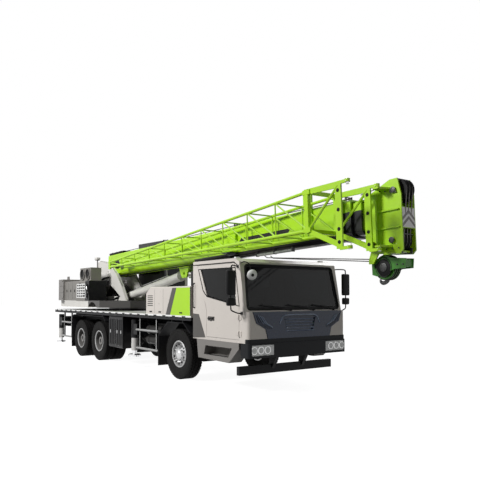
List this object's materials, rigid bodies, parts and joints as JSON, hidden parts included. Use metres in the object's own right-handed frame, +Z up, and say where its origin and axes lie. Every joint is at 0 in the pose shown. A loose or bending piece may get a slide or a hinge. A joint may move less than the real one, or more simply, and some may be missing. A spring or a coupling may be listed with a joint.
{
  "type": "mobile crane",
  "caption": "Truck crane on a road carrier: driver cab, slewing upper works with operator cab, telescopic boom, luffing cylinder, lattice jib beside the boom, outriggers and hook block.",
  "frame": {"origin": "centre of the bounding box at ground level, on the wheels at rest", "axes": "+X forward, +Y left, +Z up; the boom is stowed forward along +X"},
  "size_m": [13.0732, 3.2, 3.6387],
  "materials": {
    "lime_paint": "satin",
    "beige_paint": "gloss",
    "light_grey_paint": "satin",
    "dark_grey_paint": "satin",
    "black_paint": "satin",
    "navy_plastic": "gloss",
    "black_plastic": "matt",
    "deck_aluminium": "brushed",
    "bare_steel": "ground",
    "rod_chrome": "bright",
    "tyre_rubber": "matt",
    "seat_fabric": "woven",
    "window_glass": "clear",
    "lamp_lens": "clear",
    "wheel_silver": "satin"
  },
  "bodies": {
    "carrier": {"carrier_frame": "black_paint", "boom_rest": "dark_grey_paint", "tow_clevis": "black_paint", "deck": "deck_aluminium", "side_covers": "beige_paint", "engine": "dark_grey_paint", "axles": "black_paint", "mudguards": "black_plastic", "lockers_and_guards": "dark_grey_paint", "cab_shell": "beige_paint", "cab_glass": "window_glass", "cab_fascia": "navy_plastic", "cab_interior": "seat_fabric", "front_bumper": "dark_grey_paint", "lamps": "lamp_lens", "mirrors": "black_plastic"},
    "superstructure": {"turntable": "light_grey_paint", "counterweight": "light_grey_paint", "winches": "dark_grey_paint", "machinery_covers": "light_grey_paint", "operator_cab": "light_grey_paint", "operator_glass": "window_glass", "operator_seat": "seat_fabric"},
    "operator_door": {"operator_door": "light_grey_paint", "operator_door_glass": "window_glass"},
    "luff_barrel": {"luff_barrel": "light_grey_paint"},
    "luff_rod": {"luff_rod": "rod_chrome"},
    "boom_base": {"boom_base": "lime_paint"},
    "boom_section_2": {"boom_section_2": "lime_paint"},
    "boom_section_3": {"boom_section_3": "lime_paint"},
    "boom_head": {"boom_head": "lime_paint", "head_sheaves": "black_plastic"},
    "jib": {"jib": "lime_paint"},
    "hook_block": {"hook_block": "dark_grey_paint"},
    "cab_door_right": {"cab_door_right": "beige_paint", "door_glass_right": "window_glass"},
    "steer_right": {"knuckle_right": "black_paint"},
    "wheel_front_right": {"tyre_front_right": "tyre_rubber", "rim_front_right": "wheel_silver"},
    "wheel_mid_right": {"tyre_mid_right": "tyre_rubber", "rim_mid_right": "dark_grey_paint"},
    "wheel_rear_right": {"tyre_rear_right": "tyre_rubber", "rim_rear_right": "dark_grey_paint"},
    "beam_front_right": {"outrigger_front_right": "light_grey_paint"},
    "jack_front_right": {"jack_front_right": "rod_chrome"},
    "beam_rear_right": {"outrigger_rear_right": "light_grey_paint"},
    "jack_rear_right": {"jack_rear_right": "rod_chrome"},
    "cab_door_left": {"cab_door_left": "beige_paint", "door_glass_left": "window_glass"},
    "steer_left": {"knuckle_left": "black_paint"},
    "wheel_front_left": {"tyre_front_left": "tyre_rubber", "rim_front_left": "wheel_silver"},
    "wheel_mid_left": {"tyre_mid_left": "tyre_rubber", "rim_mid_left": "dark_grey_paint"},
    "wheel_rear_left": {"tyre_rear_left": "tyre_rubber", "rim_rear_left": "dark_grey_paint"},
    "beam_front_left": {"outrigger_front_left": "light_grey_paint"},
    "jack_front_left": {"jack_front_left": "rod_chrome"},
    "beam_rear_left": {"outrigger_rear_left": "light_grey_paint"},
    "jack_rear_left": {"jack_rear_left": "rod_chrome"}
  },
  "joints": [
    {"name": "steer_right", "type": "hinge", "parent": "carrier", "child": "steer_right", "pos_m": [1.56332, -0.82, 0.54], "axis": [0, 0, 1], "range_deg": [-35, 35]},
    {"name": "wheel_front_right_spin", "type": "hinge", "parent": "steer_right", "child": "wheel_front_right", "pos_m": [1.56332, -1.075, 0.54], "axis": [0, 1, 0], "continuous": true},
    {"name": "wheel_mid_right_spin", "type": "hinge", "parent": "carrier", "child": "wheel_mid_right", "pos_m": [-2.76168, -0.91, 0.54], "axis": [0, 1, 0], "continuous": true},
    {"name": "wheel_rear_right_spin", "type": "hinge", "parent": "carrier", "child": "wheel_rear_right", "pos_m": [-4.11168, -0.91, 0.54], "axis": [0, 1, 0], "continuous": true},
    {"name": "cab_door_right_hinge", "type": "hinge", "parent": "carrier", "child": "cab_door_right", "pos_m": [3.76632, -1.2655, 1.6], "axis": [0, 0, 1], "range_deg": [0, 70]},
    {"name": "beam_front_right_slide", "type": "slide", "parent": "carrier", "child": "beam_front_right", "axis": [0, -1, 0], "range_m": [0, 1.86]},
    {"name": "jack_front_right_slide", "type": "slide", "parent": "beam_front_right", "child": "jack_front_right", "axis": [0, 0, -1], "range_m": [0, 0.55]},
    {"name": "beam_rear_right_slide", "type": "slide", "parent": "carrier", "child": "beam_rear_right", "axis": [0, -1, 0], "range_m": [0, 1.86]},
    {"name": "jack_rear_right_slide", "type": "slide", "parent": "beam_rear_right", "child": "jack_rear_right", "axis": [0, 0, -1], "range_m": [0, 0.55]},
    {"name": "steer_left", "type": "hinge", "parent": "carrier", "child": "steer_left", "pos_m": [1.56332, 0.82, 0.54], "axis": [0, 0, 1], "range_deg": [-35, 35]},
    {"name": "wheel_front_left_spin", "type": "hinge", "parent": "steer_left", "child": "wheel_front_left", "pos_m": [1.56332, 1.075, 0.54], "axis": [0, 1, 0], "continuous": true},
    {"name": "wheel_mid_left_spin", "type": "hinge", "parent": "carrier", "child": "wheel_mid_left", "pos_m": [-2.76168, 0.91, 0.54], "axis": [0, 1, 0], "continuous": true},
    {"name": "wheel_rear_left_spin", "type": "hinge", "parent": "carrier", "child": "wheel_rear_left", "pos_m": [-4.11168, 0.91, 0.54], "axis": [0, 1, 0], "continuous": true},
    {"name": "cab_door_left_hinge", "type": "hinge", "parent": "carrier", "child": "cab_door_left", "pos_m": [3.76632, 1.2655, 1.6], "axis": [0, 0, -1], "range_deg": [0, 70]},
    {"name": "beam_front_left_slide", "type": "slide", "parent": "carrier", "child": "beam_front_left", "axis": [0, 1, 0], "range_m": [0, 1.86]},
    {"name": "jack_front_left_slide", "type": "slide", "parent": "beam_front_left", "child": "jack_front_left", "axis": [0, 0, -1], "range_m": [0, 0.55]},
    {"name": "beam_rear_left_slide", "type": "slide", "parent": "carrier", "child": "beam_rear_left", "axis": [0, 1, 0], "range_m": [0, 1.86]},
    {"name": "jack_rear_left_slide", "type": "slide", "parent": "beam_rear_left", "child": "jack_rear_left", "axis": [0, 0, -1], "range_m": [0, 0.55]},
    {"name": "slew", "type": "hinge", "parent": "carrier", "child": "superstructure", "pos_m": [-3.33668, 0, 1.4], "axis": [0, 0, 1], "continuous": true},
    {"name": "operator_door_hinge", "type": "hinge", "parent": "superstructure", "child": "operator_door", "pos_m": [-3.02968, 1.2155, 2.4], "axis": [0, 0, 1], "range_deg": [0, 95]},
    {"name": "boom_luff", "type": "hinge", "parent": "superstructure", "child": "boom_base", "pos_m": [-4.13668, 0, 2.5], "axis": [0, -1, 0], "range_deg": [0, 78]},
    {"name": "luff_barrel_pin", "type": "hinge", "parent": "superstructure", "child": "luff_barrel", "pos_m": [-3.28668, 0, 1.8], "axis": [0, -1, 0], "range_deg": [0, 78.58]},
    {"name": "luff_rod_slide", "type": "slide", "parent": "luff_barrel", "child": "luff_rod", "axis": [0.9859, 0, 0.1672], "range_m": [0, 1.3864]},
    {"name": "section_2_slide", "type": "slide", "parent": "boom_base", "child": "boom_section_2", "axis": [0.9994, 0, 0.0349], "range_m": [0, 7.5]},
    {"name": "section_3_slide", "type": "slide", "parent": "boom_section_2", "child": "boom_section_3", "axis": [0.9994, 0, 0.0349], "range_m": [0, 7.5]},
    {"name": "head_slide", "type": "slide", "parent": "boom_section_3", "child": "boom_head", "axis": [0.9994, 0, 0.0349], "range_m": [0, 7.5]},
    {"name": "jib_swing", "type": "hinge", "parent": "boom_head", "child": "jib", "pos_m": [6.19702, -0.35, 2.86086], "axis": [-0.0349, 0, 0.9994], "range_deg": [0, 180]},
    {"name": "hook_swing", "type": "hinge", "parent": "boom_head", "child": "hook_block", "pos_m": [5.89502, 0, 2.34], "axis": [0, -1, 0], "range_deg": [-78, 0]}
  ],
  "couplings": [
    {"joint": "luff_barrel_pin", "follows": "boom_luff", "ratio": 1.0071},
    {"joint": "luff_rod_slide", "follows": "boom_luff", "m_per_rad": 1.0177},
    {"joint": "section_3_slide", "follows": "section_2_slide", "ratio": 1},
    {"joint": "head_slide", "follows": "section_2_slide", "ratio": 1},
    {"joint": "hook_swing", "follows": "boom_luff", "ratio": -1},
    {"joint": "steer_left", "follows": "steer_right", "ratio": 1}
  ]
}
